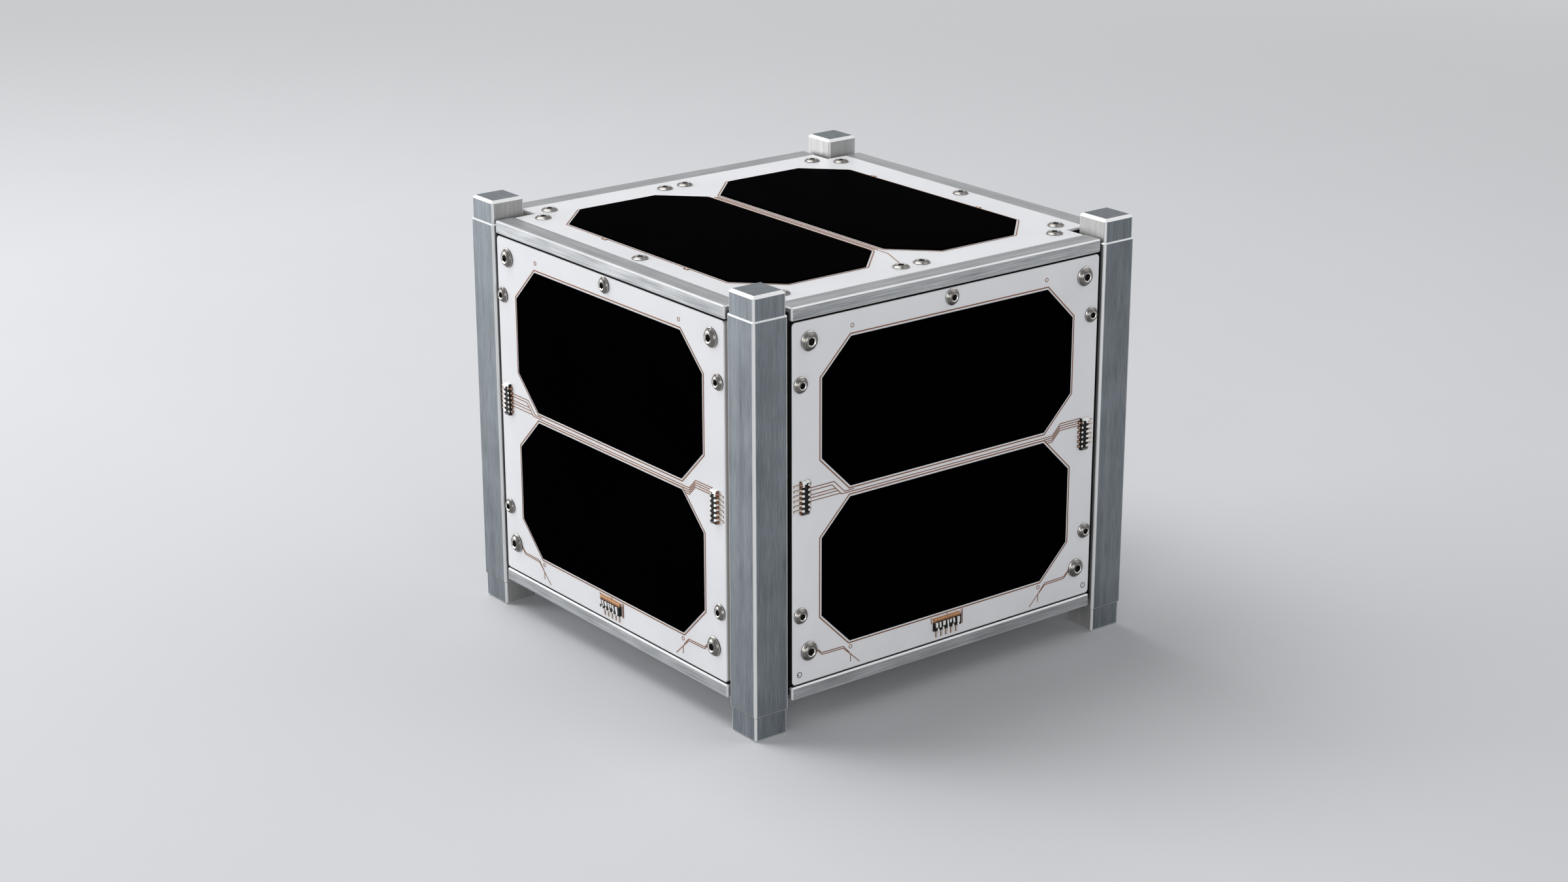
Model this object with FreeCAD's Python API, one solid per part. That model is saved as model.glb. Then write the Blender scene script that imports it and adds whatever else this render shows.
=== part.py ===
import FreeCAD, Part
import os
from math import cos, radians, sin

# One-unit cube satellite, standing on its four feet.
# Millimetres. Z is up, the floor is z = 0 and the Z axis runs up the middle.
# The front faces -Y and the right side faces +X.
# A side is built once as the front and turned about Z for the other three.

# Corner rails and the stubs on their ends
outer_width = 100.0
rail_side = 8.5
foot_height = 5.1
rail_length = 82.2
cap_height = 4.9
stub_inset = 0.25
rail_edge_radius = 0.7
stub_edge_radius = 0.6
rail_end_chamfer = 0.35
cap_chamfer = 0.6
foot_chamfer = 0.4
flange_thickness = 2.0
flange_reach = 7.0
flange_end_gap = 0.2

# Cross beams between the rails, placed from the rails' ends
beam_low_inset = 1.4
beam_top_rise = 1.1
beam_recess = 0.15
beam_face_height = 2.8
beam_end_gap = 0.9
beam_strip_width = 4.4
beam_outer_chamfer = 0.3
beam_inner_chamfer = 0.3
beam_end_chamfer = 0.3
web_depth = 12.8
ledge_reach = 7.2
ledge_thickness = 2.0
ledge_corner_gap = 0.2

# Panels
panel_thickness = 1.6
panel_recess = 0.25
panel_side_gap = 1.15
panel_beam_gap = 0.4
panel_corner_radius = 0.8
panel_edge_chamfer = 0.15
end_panel_gap = 0.1
end_panel_notch_gap = 1.5

# Screw holes, placed from the edges of their panel
side_screw_hole = 3.0
end_screw_hole = 2.5
side_screw_inset = 4.05
side_screw_below_top = 4.15
side_screw_above_bottom = 6.65
end_corner_near = 4.7
end_corner_far = 9.4

# Solar cells, placed from the edges of their panel
cell_base_thickness = 0.15
cell_glass_thickness = 0.2
cell_glass_inset = 0.35
side_cell_margin = 7.25
side_cell_top_margin = 5.1
side_cell_bottom_margin = 6.2
side_cell_gap = 2.3
side_cell_cut = 7.2
end_cell_margin = 8.95
end_cell_front_margin = 5.95
end_cell_back_margin = 8.55
end_cell_gap = 3.2
end_cell_cut = 8.4

# Headers at the left, right and bottom edges of the side panels
header_width = 2.05
header_height = 0.7
header_end = 0.9
header_edge_chamfer = 0.15
edge_contacts_count = 6
edge_contact_pitch = 1.04
low_contacts_count = 5
low_contact_pitch = 1.35
contact_width = 0.34
contact_thickness = 0.2
contact_clearance = 0.05
contact_reach = 1.5
contact_head_depth = 0.7
left_header_inset = 2.8
left_header_rise = 1.35
right_header_inset = 3.1
right_header_drop = 1.4
low_header_inset = 3.4

# Inner stack and its spacers
stack_height = 50.0
stack_web_gap = 1.7
stack_rail_gap = 1.5
spacer_across_flats = 3.6
spacer_end_gap = 0.2

# Sizes worked out from those above
half_width = outer_width / 2
rail_inner = half_width - rail_side
rail_bottom = foot_height
rail_top = rail_bottom + rail_length
total_height = rail_top + cap_height
beam_underside = rail_bottom + beam_low_inset
beam_top = rail_top + beam_top_rise
middle_z = (beam_underside + beam_top) / 2
panel_front_y = -half_width + panel_recess
panel_back_y = panel_front_y + panel_thickness
web_inner_y = panel_back_y + flange_thickness
web_low = beam_top - web_depth
beam_face_y = -half_width + beam_recess
strip_y = beam_face_y + beam_strip_width
ledge_inner_y = strip_y + ledge_reach
ledge_half = -ledge_inner_y - ledge_corner_gap
ledge_top = beam_top - panel_thickness
ledge_low = ledge_top - ledge_thickness
panel_half_width = rail_inner - panel_side_gap
panel_low = beam_underside + beam_face_height + panel_beam_gap
panel_high = beam_top - beam_face_height - panel_beam_gap
end_panel_half = -strip_y - end_panel_gap
notch_half = rail_inner - end_panel_notch_gap
side_cell_low = panel_low + side_cell_bottom_margin
side_cell_high = panel_high - side_cell_top_margin
side_cell_middle = (side_cell_low + side_cell_high) / 2
side_cell_width = 2 * (panel_half_width - side_cell_margin)
end_cell_width = 2 * (end_panel_half - end_cell_margin)
end_cell_front = -end_panel_half + end_cell_front_margin
end_cell_back = end_panel_half - end_cell_back_margin
stack_low = middle_z - stack_height / 2
stack_high = middle_z + stack_height / 2


def vector(x, y, z):
    return FreeCAD.Vector(x, y, z)


def box(x0, x1, y0, y1, z0, z1):
    return Part.makeBox(x1 - x0, y1 - y0, z1 - z0, vector(x0, y0, z0))


def prism(points, direction):
    """Extrude the closed outline through points along direction."""
    wire = Part.makePolygon(points + [points[0]])
    return Part.Face(wire).extrude(direction)


def turned(shape, quarters):
    """Copy a piece of the front to another side, by quarter turns about Z."""
    copy = shape.copy()
    copy.rotate(vector(0, 0, 0), vector(0, 0, 1), 90 * quarters)
    return copy


def turned_over(shape, axis):
    """Copy a piece of the top to the bottom, half a turn about the frame's middle."""
    copy = shape.copy()
    copy.rotate(vector(0, 0, middle_z), axis, 180)
    return copy


def edges_along(shape, axis):
    """The straight edges of a shape that run along an axis."""
    found = []
    for edge in shape.Edges:
        run = edge.Vertexes[-1].Point - edge.Vertexes[0].Point
        if run.Length > 0 and run.cross(axis).Length < 1e-6 * run.Length:
            found.append(edge)
    return found


def edges_at(shape, axis, place):
    """The edges that lie wholly at one height along an axis."""
    return [edge for edge in shape.Edges
            if abs(edge.BoundBox.getPoint(0).dot(axis) - place) < 1e-6
            and abs(edge.BoundBox.getPoint(6).dot(axis) - place) < 1e-6]


def single(shape):
    """Merge faces that lie in one plane and give the one solid inside."""
    return shape.removeSplitter().Solids[0]


def corner_post(inset, low, high, edge_radius, low_chamfer, high_chamfer):
    """A square post in the front left corner, its upright edges rounded and its ends bevelled."""
    outer = -half_width + inset
    inner = -rail_inner - inset
    up = vector(0, 0, 1)
    block = box(outer, inner, outer, inner, low, high)
    rounded = block.makeFillet(edge_radius, edges_along(block, up))
    for bevel, place in ((low_chamfer, low), (high_chamfer, high)):
        if bevel > 0:
            block = block.makeChamfer(bevel, edges_at(block, up, place))
    return rounded.common(block)


def rail():
    """A rail with a flange behind each of the two panels that it carries."""
    post = corner_post(0, rail_bottom, rail_top, rail_edge_radius, rail_end_chamfer, rail_end_chamfer)
    low = 2 * middle_z - web_low + flange_end_gap
    high = web_low - flange_end_gap
    reach = -rail_inner + flange_reach
    front_flange = box(-rail_inner, reach, panel_back_y, web_inner_y, low, high)
    left_flange = box(panel_back_y, web_inner_y, -rail_inner, reach, low, high)
    return single(post.fuse([front_flange, left_flange]))


def cap():
    """The stub on a rail's top end."""
    return single(corner_post(stub_inset, rail_top, total_height, stub_edge_radius, 0, cap_chamfer))


def foot():
    """The stub that a rail stands on."""
    return single(corner_post(stub_inset, 0, foot_height, stub_edge_radius, foot_chamfer, 0))


def top_beam():
    """The front top beam: a bevelled bar, a web behind the side panel and a ledge."""
    half_bar = rail_inner - beam_end_gap
    face_low = beam_top - beam_face_height
    section = [
        (beam_face_y, face_low + beam_inner_chamfer),
        (beam_face_y, beam_top - beam_outer_chamfer),
        (beam_face_y + beam_outer_chamfer, beam_top),
        (strip_y, beam_top),
        (strip_y, face_low),
        (beam_face_y + beam_inner_chamfer, face_low),
    ]
    points = [vector(-half_bar, y, z) for y, z in section]
    bar = prism(points, vector(2 * half_bar, 0, 0))
    along = vector(1, 0, 0)
    ends = edges_at(bar, along, -half_bar) + edges_at(bar, along, half_bar)
    bar = bar.makeChamfer(beam_end_chamfer, ends)
    web = box(-rail_inner, rail_inner, panel_back_y, web_inner_y, web_low, face_low)
    ledge = box(-ledge_half, ledge_half, panel_back_y, ledge_inner_y, ledge_low, face_low)
    step = box(-ledge_half, ledge_half, strip_y - beam_end_chamfer, ledge_inner_y, ledge_low, ledge_top)
    return single(bar.fuse([web, ledge, step]))


def bored(plate, hole, places, axis):
    """Drill a screw hole through a panel at each place."""
    for place in places:
        plate = plate.cut(Part.makeCylinder(hole / 2, panel_thickness, place, axis))
    return plate


def side_panel():
    """The front panel, with rounded corners, a bevelled rim and its corner screw holes."""
    plate = box(-panel_half_width, panel_half_width, panel_front_y, panel_back_y, panel_low, panel_high)
    inward = vector(0, 1, 0)
    plate = plate.makeFillet(panel_corner_radius, edges_along(plate, inward))
    plate = plate.makeChamfer(panel_edge_chamfer, edges_at(plate, inward, panel_front_y))
    x = panel_half_width - side_screw_inset
    heights = (panel_low + side_screw_above_bottom, panel_high - side_screw_below_top)
    places = [vector(side * x, panel_front_y, z) for side in (-1, 1) for z in heights]
    return bored(plate, side_screw_hole, places, inward)


def notched_square(half, notch, low, high):
    """A square block with a square notch at each corner, clear of the rails."""
    block = box(-half, half, -half, half, low, high)
    for quarter in range(4):
        corner = box(-half, -notch, -half, -notch, low, high)
        block = block.cut(turned(corner, quarter))
    return block


def end_panel():
    """The top panel, which lies in the beams' ledges and clears the caps."""
    plate = notched_square(end_panel_half, notch_half, ledge_top, beam_top)
    up = vector(0, 0, 1)
    plate = plate.makeChamfer(panel_edge_chamfer, edges_at(plate, up, beam_top))
    near = end_panel_half - end_corner_near
    far = end_panel_half - end_corner_far
    places = [vector(sx * x, sy * y, ledge_top) for sx in (-1, 1) for sy in (-1, 1)
              for x, y in ((near, far), (far, near))]
    return bored(plate, end_screw_hole, places, up)


def cut_corner_plate(width, height, cut, low, high):
    """A flat plate about the Z axis with its four corners cut off."""
    x = width / 2
    y = height / 2
    outline = [(x - cut, -y), (x, -y + cut), (x, y - cut), (x - cut, y),
               (-x + cut, y), (-x, y - cut), (-x, -y + cut), (-x + cut, -y)]
    return prism([vector(a, b, low) for a, b in outline], vector(0, 0, high - low))


def solar_cell(width, height, cut):
    """A cell on its back: the wafer, and a cover glass a little smaller on it."""
    glass_cut = cut - cell_glass_inset * (2 - 1 / cos(radians(45)))
    top = cell_base_thickness + cell_glass_thickness
    wafer = cut_corner_plate(width, height, cut, 0, cell_base_thickness)
    glass = cut_corner_plate(width - 2 * cell_glass_inset, height - 2 * cell_glass_inset,
                             glass_cut, cell_base_thickness, top)
    return single(wafer.fuse(glass))


def on_front_panel(shape, x, z):
    """Stand a piece that lies on its back against the front panel."""
    placed = shape.copy()
    placed.rotate(vector(0, 0, 0), vector(1, 0, 0), 90)
    placed.translate(vector(x, panel_front_y, z))
    return placed


def cell_pair(width, low, high, gap, cut):
    """One cell of a pair that fills the span from low to high, and the middles of the two."""
    height = (high - low - gap) / 2
    return solar_cell(width, height, cut), low + height / 2, high - height / 2


def contact_places(count, pitch):
    """Places of the contacts along a header, about its middle."""
    first = -pitch * (count - 1) / 2
    return [first + pitch * step for step in range(count)]


def header_body(count, pitch):
    """A header on its back: a bar along Y with a slot in its -X side for each contact."""
    half_length = pitch * (count - 1) / 2 + header_end
    half = header_width / 2
    body = box(-half, half, -half_length, half_length, 0, header_height)
    body = body.makeChamfer(header_edge_chamfer, edges_at(body, vector(0, 0, 1), header_height))
    slot_half = contact_width / 2 + contact_clearance
    slot_end = -half + contact_head_depth + contact_clearance
    for y in contact_places(count, pitch):
        slot = box(-half, slot_end, y - slot_half, y + slot_half, 0, header_height)
        body = body.cut(slot)
    return single(body)


def header_contacts(count, pitch):
    """The bent contacts of a header: a foot along the panel and a head in the slot."""
    half = header_width / 2
    inner = -half + contact_head_depth
    contacts = []
    for y in contact_places(count, pitch):
        y0 = y - contact_width / 2
        y1 = y + contact_width / 2
        foot_strip = box(-half - contact_reach, inner, y0, y1, 0, contact_thickness)
        head = box(-half + contact_clearance, inner, y0, y1, 0, header_height)
        contacts.append(single(foot_strip.fuse(head)))
    return contacts


def header_places():
    """Name, turn on its back, x and z of each header on the front panel, and its contacts."""
    edge = (edge_contacts_count, edge_contact_pitch)
    low = (low_contacts_count, low_contact_pitch)
    return [("left", 0, -panel_half_width + left_header_inset, side_cell_middle + left_header_rise, edge),
            ("right", 180, panel_half_width - right_header_inset, side_cell_middle - right_header_drop, edge),
            ("low", 90, 0, panel_low + low_header_inset, low)]


def hexagon_prism(across_flats, x, y, low, high):
    """An upright hexagonal bar."""
    radius = across_flats / 2 / cos(radians(30))
    points = [vector(x + radius * cos(radians(60 * step)), y + radius * sin(radians(60 * step)), low)
              for step in range(6)]
    return prism(points, vector(0, 0, high - low))


def stack_spacers(low, high):
    """Four hexagonal spacers between the stack and the ledges of the front and back beams."""
    x = ledge_half - spacer_across_flats / 2 - spacer_end_gap
    y = (strip_y + ledge_inner_y) / 2
    return [hexagon_prism(spacer_across_flats, sx * x, sy * y, low, high) for sx in (-1, 1) for sy in (-1, 1)]


def inner_stack():
    """The boards and battery inside, as one block."""
    half = -web_inner_y - stack_web_gap
    return notched_square(half, rail_inner - stack_rail_gap, stack_low, stack_high)


def export(name, shape):
    shape.exportStep(f"parts/{name}.step")


os.makedirs("parts", exist_ok=True)
sides = ["front", "right", "back", "left"]
corners = ["front_left", "front_right", "back_right", "back_left"]

for quarter, corner in enumerate(corners):
    export(f"rail_{corner}", turned(rail(), quarter))
    export(f"cap_{corner}", turned(cap(), quarter))
    export(f"foot_{corner}", turned(foot(), quarter))

for quarter, side in enumerate(sides):
    beam = turned(top_beam(), quarter)
    export(f"beam_top_{side}", beam)
    lower = turned(turned_over(top_beam(), vector(0, 1, 0)), quarter)
    export(f"beam_bottom_{side}", lower)
    export(f"panel_{side}", turned(side_panel(), quarter))

    cell, lower, upper = cell_pair(side_cell_width, side_cell_low, side_cell_high,
                                   side_cell_gap, side_cell_cut)
    for name, z in (("upper", upper), ("lower", lower)):
        export(f"cell_{side}_{name}", turned(on_front_panel(cell, 0, z), quarter))

    pins = []
    for name, angle, x, z, (count, pitch) in header_places():
        body = header_body(count, pitch)
        body.rotate(vector(0, 0, 0), vector(0, 0, 1), angle)
        export(f"header_{side}_{name}", turned(on_front_panel(body, x, z), quarter))
        for contact in header_contacts(count, pitch):
            contact.rotate(vector(0, 0, 0), vector(0, 0, 1), angle)
            pins.append(turned(on_front_panel(contact, x, z), quarter))
    export(f"contacts_{side}", Part.makeCompound(pins))

top_panel = end_panel()
export("panel_top", top_panel)
export("panel_bottom", turned_over(top_panel, vector(1, 0, 0)))

cell, front, back = cell_pair(end_cell_width, end_cell_front, end_cell_back, end_cell_gap, end_cell_cut)
for name, y in (("front", front), ("back", back)):
    placed = cell.copy()
    placed.translate(vector(0, y, beam_top))
    export(f"cell_top_{name}", placed)
    export(f"cell_bottom_{name}", turned_over(placed, vector(1, 0, 0)))

export("inner_stack", inner_stack())
spacers = stack_spacers(stack_high, ledge_low)
export("spacers_upper", Part.makeCompound(spacers))
export("spacers_lower", Part.makeCompound([turned_over(spacer, vector(1, 0, 0)) for spacer in spacers]))
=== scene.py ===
from math import cos, pi, radians, sin

import bmesh
import bpy
from mathutils import Matrix, Vector


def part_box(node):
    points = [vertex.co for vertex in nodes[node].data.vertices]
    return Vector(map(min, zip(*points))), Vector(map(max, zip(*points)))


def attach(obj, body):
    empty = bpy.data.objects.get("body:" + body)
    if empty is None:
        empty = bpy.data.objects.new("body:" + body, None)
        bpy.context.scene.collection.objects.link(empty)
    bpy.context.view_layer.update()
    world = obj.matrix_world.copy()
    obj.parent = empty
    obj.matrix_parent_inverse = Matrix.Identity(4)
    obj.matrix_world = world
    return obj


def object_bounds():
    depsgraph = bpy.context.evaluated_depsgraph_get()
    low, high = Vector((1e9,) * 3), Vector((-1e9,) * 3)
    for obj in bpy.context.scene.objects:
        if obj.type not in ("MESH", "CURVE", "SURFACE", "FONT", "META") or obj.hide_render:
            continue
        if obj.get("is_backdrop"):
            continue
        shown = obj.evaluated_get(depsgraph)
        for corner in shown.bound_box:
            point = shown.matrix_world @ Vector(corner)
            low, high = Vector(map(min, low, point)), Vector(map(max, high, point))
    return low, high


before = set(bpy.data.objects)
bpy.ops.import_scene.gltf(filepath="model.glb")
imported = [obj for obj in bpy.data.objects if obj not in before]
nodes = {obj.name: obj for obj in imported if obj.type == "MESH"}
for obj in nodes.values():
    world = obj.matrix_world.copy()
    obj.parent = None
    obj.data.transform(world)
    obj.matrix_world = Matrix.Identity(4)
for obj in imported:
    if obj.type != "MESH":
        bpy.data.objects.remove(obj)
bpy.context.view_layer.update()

# Cube satellite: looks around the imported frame.
# New pieces are modelled on a bench, lying flat in millimetres, and then put in place in metres.
# The bench's ground is the outer face of a panel. On a side panel, u runs to the right from its middle
# and heights start at the floor. Sizes are millimetres unless a comment says otherwise.

mm = 0.001
sides = ["front", "right", "back", "left"]
panel_face = -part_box("panel_front")[0].y / mm
top_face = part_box("panel_top")[1].z / mm
middle_height = (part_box("panel_top")[1].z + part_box("panel_bottom")[0].z) / 2 / mm
outer_half = -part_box("rail_front_left")[0].y / mm
beam_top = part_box("beam_top_front")[1].z / mm
beam_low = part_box("beam_bottom_front")[0].z / mm

# Camera, fitted to the rails in the photograph: degrees, metres, and millimetres for the lens
camera_azimuth = 52.24
camera_elevation = 19.21
camera_roll = -0.13
camera_distance = 0.6208
camera_lens = 65.88
aim_height = 0.0461
aim_right = -0.00309
aim_up = -0.00647

# Screws of the side panels
large_head = 4.1
small_head = 3.4
middle_head = 3.5
head_height = 0.95
small_head_share = 0.9
large_screw_u = 36.3
large_screw_high = 81.05
large_screw_low = 16.35
small_screw_u = 38.4
small_screw_high = 72.5
small_screw_low = 24.4
middle_screw_high = 83.3

# Screws of the end panels
end_head = 3.6
end_head_height = 0.55
end_screw_near = 35.95
end_screw_far = 40.65
end_pair_x = 40.5
end_pair_middle = -2.9
end_pair_half = 2.7
end_middle_x = 3.0
end_middle_y = 42.9

# A screw's head, rising step by step: (share of its height, width against the step below). Its skirt is
# painted dark as shade up to the first share of the height, and its rim painted bright as a highlight up
# to the second.
head_steps = ((0.24, 1.0), (0.05, 0.96), (0.24, 0.90), (0.22, 0.88), (0.15, 0.85), (0.10, 0.82))
shaded_share = 0.23
rim_share = 0.29

# Copper. Lines that meet differ a little in height, so that no two of their tops lie in one plane.
trace_width = 0.24
fine_width = 0.17
thin_width = fine_width * 0.8
trace_height = 0.05
fine_height = 0.062
sunk = 0.02
outline_gap = 0.50
side_cell_cut = 7.2
end_cell_cut = 8.4

# Contacts of the headers
edge_contacts = 6
edge_pitch = 1.04
low_contacts = 5
low_pitch = 1.35
contact_reach = 1.5


class Signal:
    """An output of a material's nodes that works in plain sums."""

    def __init__(self, finish, socket):
        self.finish = finish
        self.socket = socket

    def sum_node(self, operation, first, second):
        return self.finish.node("ShaderNodeMath", {"operation": operation}, {0: first, 1: second})

    def __add__(self, other):
        return self.sum_node("ADD", self, other)

    def __radd__(self, other):
        return self.sum_node("ADD", other, self)

    def __sub__(self, other):
        return self.sum_node("SUBTRACT", self, other)

    def __rsub__(self, other):
        return self.sum_node("SUBTRACT", other, self)

    def __mul__(self, other):
        return self.sum_node("MULTIPLY", self, other)

    def __rmul__(self, other):
        return self.sum_node("MULTIPLY", other, self)

    def larger(self, other):
        return self.sum_node("MAXIMUM", self, other)

    def smaller(self, other):
        return self.sum_node("MINIMUM", self, other)

    def clamped(self):
        return self.finish.node("ShaderNodeClamp", {}, {0: self})


class Finish:
    """A material in the making. Its places are millimetres in the part's own frame."""

    def __init__(self, name):
        self.material = bpy.data.materials.new(name)
        self.material.use_nodes = True
        self.tree = self.material.node_tree
        self.tree.nodes.clear()

    def node(self, kind, settings, inputs, output=0):
        made = self.tree.nodes.new(kind)
        for key, value in settings.items():
            setattr(made, key, value)
        for key, value in inputs.items():
            if isinstance(value, Signal):
                self.tree.links.new(value.socket, made.inputs[key])
            else:
                made.inputs[key].default_value = value
        return Signal(self, made.outputs[output])

    def place(self, stretch=(1, 1, 1)):
        own = self.node("ShaderNodeTexCoord", {}, {}, "Object")
        return self.node("ShaderNodeMapping", {}, {"Vector": own, "Scale": [s / mm for s in stretch]})

    def noise(self, place, scale, detail=2.0, roughness=0.5):
        return self.node("ShaderNodeTexNoise", {},
                         {"Vector": place, "Scale": scale, "Detail": detail, "Roughness": roughness})

    def ramp(self, value, low, high):
        """0 below low, 1 above high."""
        return self.node("ShaderNodeMapRange", {}, {"Value": value, "From Min": low, "From Max": high})

    def blend(self, share, first, second):
        """One colour where share is 0, the other where it is 1."""
        first, second = (c if isinstance(c, Signal) else (*c, 1) for c in (first, second))
        return self.node("ShaderNodeMix", {"data_type": "RGBA"}, {0: share, 6: first, 7: second}, 2)

    def bump(self, height, strength, distance):
        return self.node("ShaderNodeBump", {},
                         {"Height": height, "Strength": strength, "Distance": distance * mm}, "Normal")

    def parts(self, vector):
        """The three sizes of a vector, without their signs."""
        plain = self.node("ShaderNodeVectorMath", {"operation": "ABSOLUTE"}, {0: vector})
        return [self.node("ShaderNodeSeparateXYZ", {}, {0: plain}, axis) for axis in range(3)]

    def normal_parts(self):
        return self.parts(self.node("ShaderNodeNewGeometry", {}, {}, "Normal"))

    def off_square(self):
        """1 on bevels and rounded edges, 0 on faces square to the frame."""
        x, y, z = self.normal_parts()
        return self.ramp(x.larger(y).larger(z), 0.992, 0.93)

    def hidden(self, depth):
        """1 on faces that lie deeper than depth below every side of the part, 0 on its outer faces."""
        x, y, z = self.parts(self.place())
        sideways = self.ramp(x.larger(y), outer_half - depth, outer_half - depth - 0.1)
        own = self.node("ShaderNodeSeparateXYZ", {}, {0: self.place()}, 2)
        ends = self.ramp(own, beam_top - depth, beam_top - depth - 0.1)
        ends = ends.smaller(self.ramp(own, beam_low + depth, beam_low + depth + 0.1))
        return sideways.smaller(ends)

    def inward(self):
        """1 on upright faces turned to the middle of the part, 0 on the others."""
        normal = self.node("ShaderNodeNewGeometry", {}, {}, "Normal")
        level = self.node("ShaderNodeVectorMath", {"operation": "MULTIPLY"}, {0: normal, 1: (1, 1, 0)})
        outwards = self.node("ShaderNodeVectorMath", {"operation": "DOT_PRODUCT"},
                             {0: self.place(), 1: level}, 1)
        return self.ramp(outwards, -25.0, -35.0)

    def right_hand(self):
        """1 on upright faces turned to the right of their own side of the part, 0 to the left."""
        normal = self.node("ShaderNodeNewGeometry", {}, {}, "Normal")
        across = self.node("ShaderNodeVectorMath", {"operation": "CROSS_PRODUCT"},
                           {0: self.place(), 1: normal})
        return self.ramp(self.node("ShaderNodeSeparateXYZ", {}, {0: across}, 2), 10.0, 30.0)

    def straight_rays(self):
        """1 for rays from the camera, in reflections and through clear things."""
        kinds = ("Is Camera Ray", "Is Glossy Ray", "Is Transmission Ray")
        camera_ray, glossy, clear = (self.node("ShaderNodeLightPath", {}, {}, kind) for kind in kinds)
        return camera_ray.larger(glossy).larger(clear)

    def surface(self, **sockets):
        named = {key.replace("_", " "): value for key, value in sockets.items()}
        shader = self.node("ShaderNodeBsdfPrincipled", {}, named)
        return self.shown(shader)

    def shown(self, shader):
        end = self.tree.nodes.new("ShaderNodeOutputMaterial")
        self.tree.links.new(shader.socket, end.inputs["Surface"])
        return self.material


class Surround(Finish):
    """The nodes of a world."""

    def __init__(self, world):
        world.use_nodes = True
        self.tree = world.node_tree
        self.tree.nodes.clear()

    def shown(self, shader):
        end = self.tree.nodes.new("ShaderNodeOutputWorld")
        self.tree.links.new(shader.socket, end.inputs["Surface"])


# Colours that several places of one finish share: a painted highlight for bevels, painted shade for
# hidden faces and for gaps
bevel_painted_highlight = (0.68, 0.685, 0.69)
hidden_painted_shade = (0.012, 0.012, 0.013)
gap_painted_shade = (0.010, 0.009, 0.008)


def brushed_metal(name, grain, streak, sheen, share, dull, bright):
    """Brushed aluminium with its grain along one axis. Its bevels are painted bright as a highlight, and
    faces hidden deep in the part are painted near black as shade. The stubs' inner faces are painted
    lighter as light, and the upper flats painted darker as shade."""
    finish = Finish(name)
    fine = finish.noise(finish.place(grain), 6.0, 3.0, 0.6)
    wide = finish.noise(finish.place([g * 0.5 for g in grain]), 1.3, 2.0, 0.5)
    clouds = finish.noise(finish.place(), 0.10, 2.0)
    scratches = finish.ramp(finish.noise(finish.place([g * 1.3 for g in grain]), 5.0, 2.0), 0.64, 0.70)
    bevel = finish.off_square()
    hidden = finish.hidden(1.0)
    shade = (0.5 + (fine - 0.5) * streak + (wide - 0.5) * 1.1 + (clouds - 0.5) * 0.8).clamped()
    metal = finish.blend(shade, dull, bright)
    metal = finish.blend(scratches * 0.35, metal, [min(1.0, t * 1.25) for t in bright])
    # Upright faces turned to the middle of the part are painted lighter as light.
    inner = finish.blend(shade, (0.38, 0.38, 0.375), (0.53, 0.525, 0.52))
    metal = finish.blend(finish.inward(), metal, inner)
    # Flats facing up are painted darker as shade.
    flat = finish.ramp(finish.normal_parts()[2], 0.97, 0.995)
    metal = finish.blend(flat * 0.45, metal, [0.45 * t for t in dull])
    # Bevels are painted bright as a highlight and made less metallic, so that they show bright.
    edge = bevel * (1 - hidden)
    finished = finish.blend(edge, metal, bevel_painted_highlight)
    # Faces hidden deeper than 1 mm inside the part are painted near black as shade.
    finished = finish.blend(hidden, finished, hidden_painted_shade)
    rough = sheen + (fine - 0.5) * 0.14 + (clouds - 0.5) * 0.10 - bevel * 0.08
    grooves = finish.bump(fine * (1 - bevel), 0.15, 0.02)
    metallic = share * (1 - edge * 0.45) * (1 - hidden * 0.7)
    return finish.surface(Base_Color=finished, Metallic=metallic, Roughness=rough, Normal=grooves)


def white_board():
    """White solder mask over glass fibre board, with the bare laminate at its edges. Edges turned to the
    left of their side and faces deep in the gaps are painted near black as shade.
    """
    finish = Finish("white_board")
    clouds = finish.noise(finish.place(), 0.06, 3.0)
    fine = finish.noise(finish.place(), 2.2, 3.0)
    weave = finish.noise(finish.place(), 0.9, 1.0)
    layers = finish.noise(finish.place(), 1.8, 2.0)
    specks = finish.ramp(finish.noise(finish.place(), 7.0, 1.0), 0.74, 0.78)
    shade = (0.5 + (clouds - 0.5) * 1.6 + (fine - 0.5) * 0.3).clamped()
    mask = finish.blend(shade, (0.68, 0.685, 0.71), (0.765, 0.765, 0.785))
    mask = finish.blend(specks * 0.12, mask, (0.45, 0.44, 0.42))
    laminate = finish.blend(layers, (0.40, 0.385, 0.36), (0.54, 0.52, 0.49))
    # Laminate on edges turned to the left of their side, and on faces deeper than 1.45 mm, is painted
    # near black as shade.
    laminate = finish.blend(finish.right_hand(), gap_painted_shade, laminate)
    laminate = finish.blend(finish.hidden(1.45), laminate, gap_painted_shade)
    colour = finish.blend(finish.hidden(0.48), mask, laminate)
    rough = 0.34 + (fine - 0.5) * 0.12 + (clouds - 0.5) * 0.10
    skin = finish.bump(fine * 0.6 + weave, 0.10, 0.02)
    return finish.surface(Base_Color=colour, Roughness=rough, Normal=skin)


def black_cell():
    """A dark cell under coated cover glass."""
    finish = Finish("black_cell")
    clouds = finish.noise(finish.place(), 0.05, 2.0)
    grain = finish.noise(finish.place(), 3.0, 2.0)
    tint = finish.blend(clouds, (0.0002, 0.0002, 0.0004), (0.0006, 0.0006, 0.0010))
    rough = 0.22 + (grain - 0.5) * 0.08
    glass = finish.bump(grain, 0.03, 0.01)
    return finish.surface(Base_Color=tint, Roughness=rough, Normal=glass, Specular_IOR_Level=0.0001)


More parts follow.
